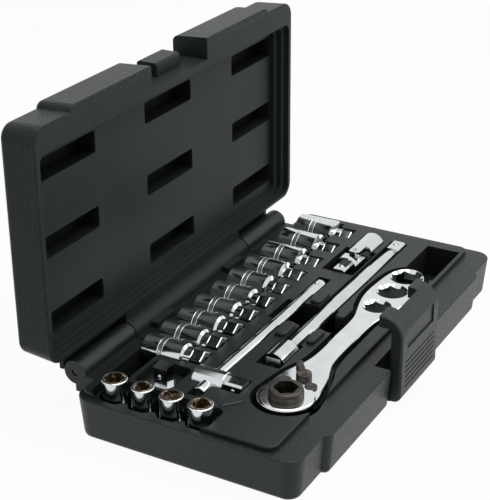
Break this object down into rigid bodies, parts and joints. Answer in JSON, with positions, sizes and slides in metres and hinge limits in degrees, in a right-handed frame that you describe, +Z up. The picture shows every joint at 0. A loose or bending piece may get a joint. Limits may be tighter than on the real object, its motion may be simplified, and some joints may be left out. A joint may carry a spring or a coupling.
{
  "type": "socket wrench set in case",
  "caption": "Open hinged moulded case with a front clasp; its fitted tray holds lying and upright sockets, a ratchet, a sliding T-handle, an extension bar and a universal joint.",
  "frame": {"origin": "middle of the flat underside of the case's base", "axes": "+X along the hinge to the right as seen from the front, +Y to the back, +Z up; the front and clasp are at -Y"},
  "size_m": [0.2, 0.1307, 0.1291],
  "materials": {
    "case_plastic": "grained moulded",
    "chrome": "polished plated",
    "pin_steel": "drawn",
    "ball_steel": "ground",
    "dark_metal": "blackened"
  },
  "bodies": {
    "base": {"base_shell": "case_plastic", "tray_uprights": "case_plastic", "tray_row_left": "case_plastic", "tray_row_right": "case_plastic", "tray_bars": "case_plastic", "tray_ratchet": "case_plastic", "tray_handle": "case_plastic", "hinge_pin": "pin_steel", "clasp_pin": "pin_steel"},
    "lid": {"lid_shell": "case_plastic"},
    "clasp": {"clasp": "case_plastic"},
    "socket_one": {"socket_one": "chrome"},
    "socket_two": {"socket_two": "chrome"},
    "socket_three": {"socket_three": "chrome"},
    "socket_four": {"socket_four": "chrome"},
    "socket_five": {"socket_five": "chrome"},
    "socket_six": {"socket_six": "chrome"},
    "socket_seven": {"socket_seven": "chrome"},
    "socket_eight": {"socket_eight": "chrome"},
    "socket_nine": {"socket_nine": "chrome"},
    "socket_ten": {"socket_ten": "chrome"},
    "upright_one": {"upright_socket_one": "chrome"},
    "upright_two": {"upright_socket_two": "chrome"},
    "upright_three": {"upright_socket_three": "chrome"},
    "upright_four": {"upright_socket_four": "chrome"},
    "adapter": {"drive_adapter": "chrome"},
    "tbar_head": {"tbar_head": "chrome"},
    "extension": {"extension_bar": "chrome"},
    "joint_sleeve": {"joint_sleeve": "chrome"},
    "ratchet": {"ratchet_body": "chrome", "cover_screws": "dark_metal"},
    "tbar_bar": {"tbar_bar": "chrome", "tbar_stop": "ball_steel"},
    "joint_block": {"joint_block": "chrome", "joint_pin_across": "pin_steel", "joint_pin_stubs": "pin_steel"},
    "joint_fork": {"joint_fork": "chrome"},
    "ratchet_collar": {"ratchet_collar": "dark_metal"},
    "ratchet_lever": {"ratchet_lever": "dark_metal"},
    "adapter_ball": {"adapter_ball": "ball_steel"},
    "tbar_ball": {"tbar_ball": "ball_steel"},
    "extension_ball": {"extension_ball": "ball_steel"},
    "joint_ball": {"joint_ball": "ball_steel"}
  },
  "joints": [
    {"name": "lid_hinge", "type": "hinge", "parent": "base", "child": "lid", "pos_m": [0, 0.0586, 0.0187], "axis": [-1, 0, 0], "range_deg": [-90, 0]},
    {"name": "clasp_hinge", "type": "hinge", "parent": "base", "child": "clasp", "pos_m": [0, -0.0491, 0.0062], "axis": [1, 0, 0], "range_deg": [-3, 88]},
    {"name": "socket_one_lift", "type": "slide", "parent": "base", "child": "socket_one", "axis": [0, 0, 1], "range_m": [0, 0.045]},
    {"name": "socket_two_lift", "type": "slide", "parent": "base", "child": "socket_two", "axis": [0, 0, 1], "range_m": [0, 0.045]},
    {"name": "socket_three_lift", "type": "slide", "parent": "base", "child": "socket_three", "axis": [0, 0, 1], "range_m": [0, 0.045]},
    {"name": "socket_four_lift", "type": "slide", "parent": "base", "child": "socket_four", "axis": [0, 0, 1], "range_m": [0, 0.045]},
    {"name": "socket_five_lift", "type": "slide", "parent": "base", "child": "socket_five", "axis": [0, 0, 1], "range_m": [0, 0.045]},
    {"name": "socket_six_lift", "type": "slide", "parent": "base", "child": "socket_six", "axis": [0, 0, 1], "range_m": [0, 0.045]},
    {"name": "socket_seven_lift", "type": "slide", "parent": "base", "child": "socket_seven", "axis": [0, 0, 1], "range_m": [0, 0.045]},
    {"name": "socket_eight_lift", "type": "slide", "parent": "base", "child": "socket_eight", "axis": [0, 0, 1], "range_m": [0, 0.045]},
    {"name": "socket_nine_lift", "type": "slide", "parent": "base", "child": "socket_nine", "axis": [0, 0, 1], "range_m": [0, 0.045]},
    {"name": "socket_ten_lift", "type": "slide", "parent": "base", "child": "socket_ten", "axis": [0, 0, 1], "range_m": [0, 0.045]},
    {"name": "upright_one_lift", "type": "slide", "parent": "base", "child": "upright_one", "axis": [0, 0, 1], "range_m": [0, 0.045]},
    {"name": "upright_two_lift", "type": "slide", "parent": "base", "child": "upright_two", "axis": [0, 0, 1], "range_m": [0, 0.045]},
    {"name": "upright_three_lift", "type": "slide", "parent": "base", "child": "upright_three", "axis": [0, 0, 1], "range_m": [0, 0.045]},
    {"name": "upright_four_lift", "type": "slide", "parent": "base", "child": "upright_four", "axis": [0, 0, 1], "range_m": [0, 0.045]},
    {"name": "adapter_lift", "type": "slide", "parent": "base", "child": "adapter", "axis": [0, 0, 1], "range_m": [0, 0.045]},
    {"name": "tbar_head_lift", "type": "slide", "parent": "base", "child": "tbar_head", "axis": [0, 0, 1], "range_m": [0, 0.045]},
    {"name": "extension_lift", "type": "slide", "parent": "base", "child": "extension", "axis": [0, 0, 1], "range_m": [0, 0.045]},
    {"name": "joint_sleeve_lift", "type": "slide", "parent": "base", "child": "joint_sleeve", "axis": [0, 0, 1], "range_m": [0, 0.045]},
    {"name": "ratchet_lift", "type": "slide", "parent": "base", "child": "ratchet", "axis": [0, 0, 1], "range_m": [0, 0.045]},
    {"name": "tbar_slide", "type": "slide", "parent": "tbar_head", "child": "tbar_bar", "axis": [1, 0, 0], "range_m": [-0.004, 0.004]},
    {"name": "joint_yaw", "type": "hinge", "parent": "joint_sleeve", "child": "joint_block", "pos_m": [0.063, 0.0048, 0.0181], "axis": [0, 0, 1], "range_deg": [-10, 10]},
    {"name": "joint_pitch", "type": "hinge", "parent": "joint_block", "child": "joint_fork", "pos_m": [0.063, 0.0048, 0.0181], "axis": [0, 1, 0], "range_deg": [0, 25]},
    {"name": "collar_spin", "type": "hinge", "parent": "ratchet", "child": "ratchet_collar", "pos_m": [-0.0629, -0.0255, 0.02], "axis": [0, 0, 1], "continuous": true},
    {"name": "lever_turn", "type": "hinge", "parent": "ratchet", "child": "ratchet_lever", "pos_m": [-0.0477, -0.0255, 0.021], "axis": [0, 0, 1], "range_deg": [-60, 0]},
    {"name": "adapter_ball_press", "type": "slide", "parent": "adapter", "child": "adapter_ball", "axis": [1, 0, 0], "range_m": [0, 0.0005], "stiffness_N_per_m": 400, "springref_m": -0.001},
    {"name": "tbar_ball_press", "type": "slide", "parent": "tbar_head", "child": "tbar_ball", "axis": [1, 0, 0], "range_m": [0, 0.0005], "stiffness_N_per_m": 400, "springref_m": -0.001},
    {"name": "extension_ball_press", "type": "slide", "parent": "extension", "child": "extension_ball", "axis": [0, 0, -1], "range_m": [0, 0.0005], "stiffness_N_per_m": 400, "springref_m": -0.001},
    {"name": "joint_ball_press", "type": "slide", "parent": "joint_fork", "child": "joint_ball", "axis": [0, 0, -1], "range_m": [0, 0.0005], "stiffness_N_per_m": 400, "springref_m": -0.001}
  ]
}
